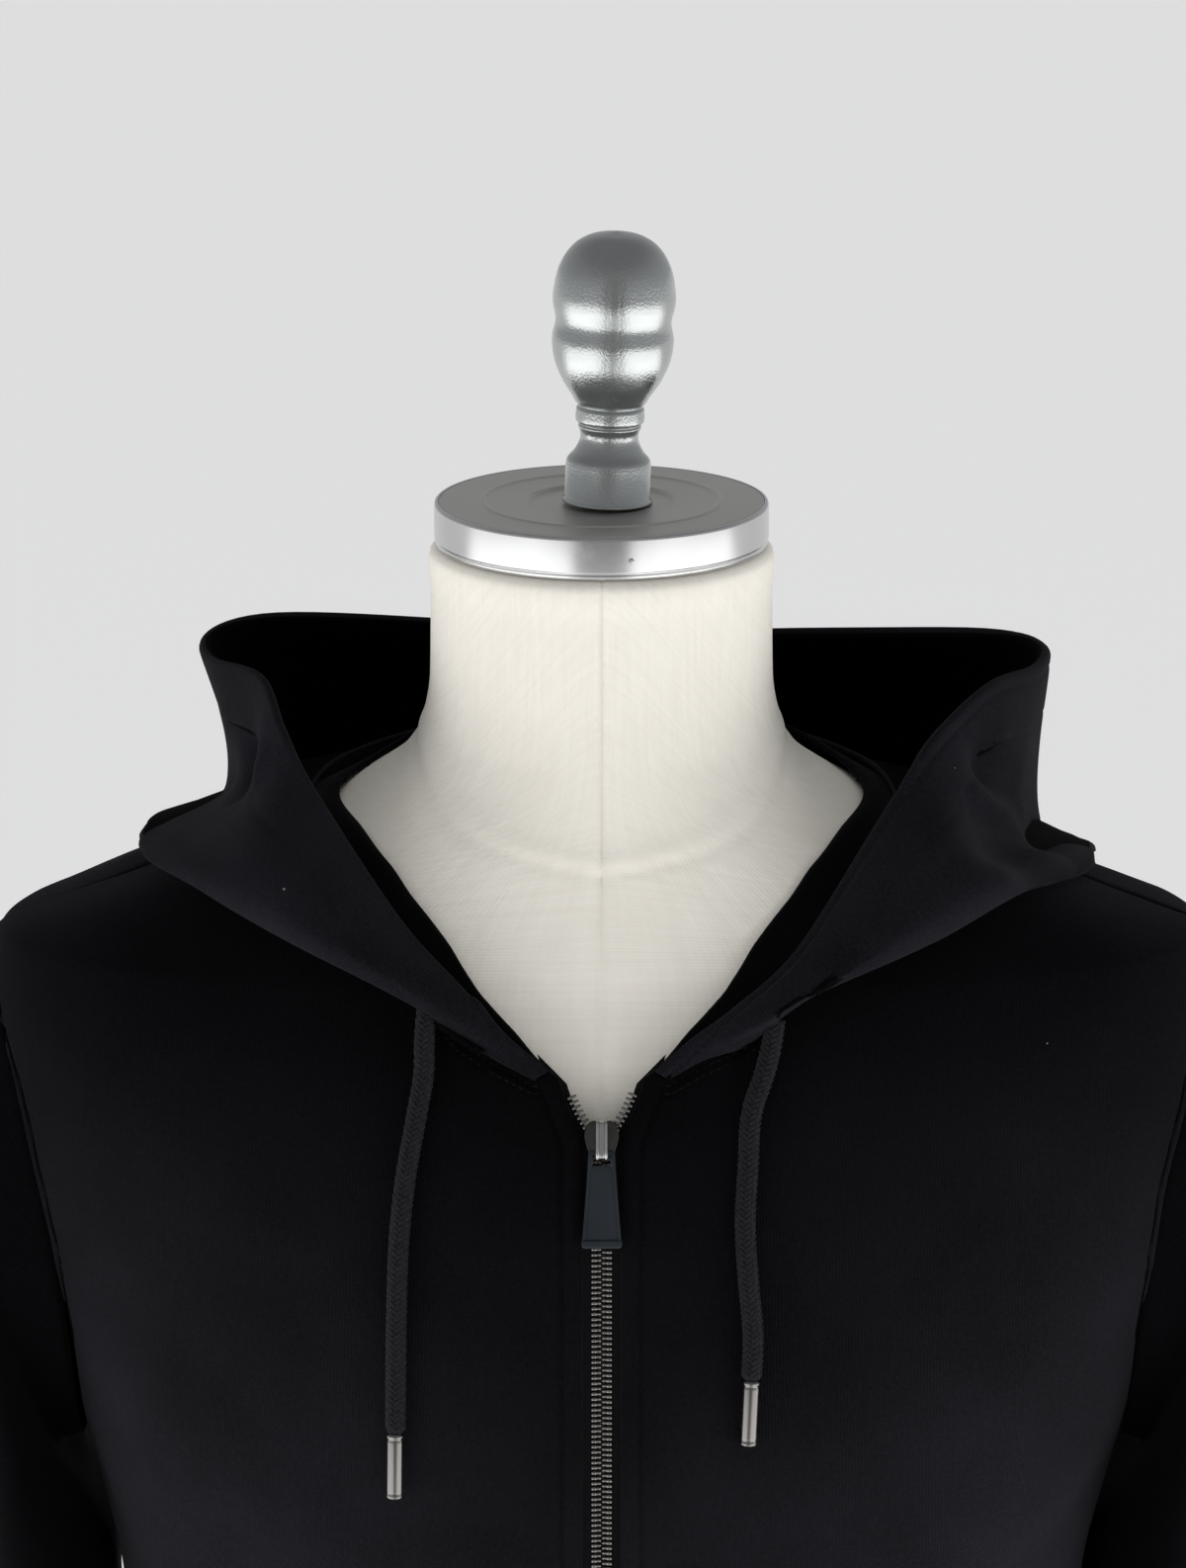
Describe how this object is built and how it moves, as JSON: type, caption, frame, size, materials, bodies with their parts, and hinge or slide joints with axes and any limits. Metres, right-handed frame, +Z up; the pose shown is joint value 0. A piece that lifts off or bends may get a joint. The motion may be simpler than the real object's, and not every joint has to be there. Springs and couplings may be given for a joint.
{
  "type": "hooded full-zip sweater on a dress form",
  "caption": "Long-sleeved hooded jersey sweater with a full-length front zip and drawcords, on a limbless dress form with a metal neck cap, a knob and a round stand.",
  "frame": {"origin": "on the floor under the centre of the stand's base", "axes": "+Z up, -Y the sweater's front, +X to the right as seen from the front"},
  "size_m": [0.5012, 0.3875, 1.1491],
  "materials": {
    "jersey": "matt black knit",
    "canvas": "plain woven cream canvas",
    "braid": "round black braid",
    "tape": "woven black tape",
    "aluminium": "polished, brushed on the cap's top",
    "gunmetal": "dark plated metal",
    "rubber": "matt slate",
    "painted_steel": "satin black"
  },
  "bodies": {
    "garment_on_form": {"front_left": "jersey", "front_right": "jersey", "back": "jersey", "sleeve_left": "jersey", "sleeve_right": "jersey", "hood_left": "jersey", "hood_right": "jersey", "zip_tape_left": "tape", "zip_tape_right": "tape", "zip_teeth_left": "gunmetal", "zip_teeth_right": "gunmetal", "zip_box": "gunmetal", "zip_slider": "gunmetal", "cord_left": "braid", "cord_right": "braid", "aglet_left": "gunmetal", "aglet_right": "gunmetal", "form_torso": "canvas", "neck_cap": "aluminium", "knob": "aluminium", "stand_pole": "painted_steel", "stand_base": "painted_steel"},
    "zip_pull": {"zip_pull": "rubber"}
  },
  "joints": [
    {"name": "pull_swing", "type": "hinge", "parent": "garment_on_form", "child": "zip_pull", "pos_m": [0, -0.11592, 0.83691], "axis": [-1, 0, 0], "range_deg": [0, 130]}
  ]
}
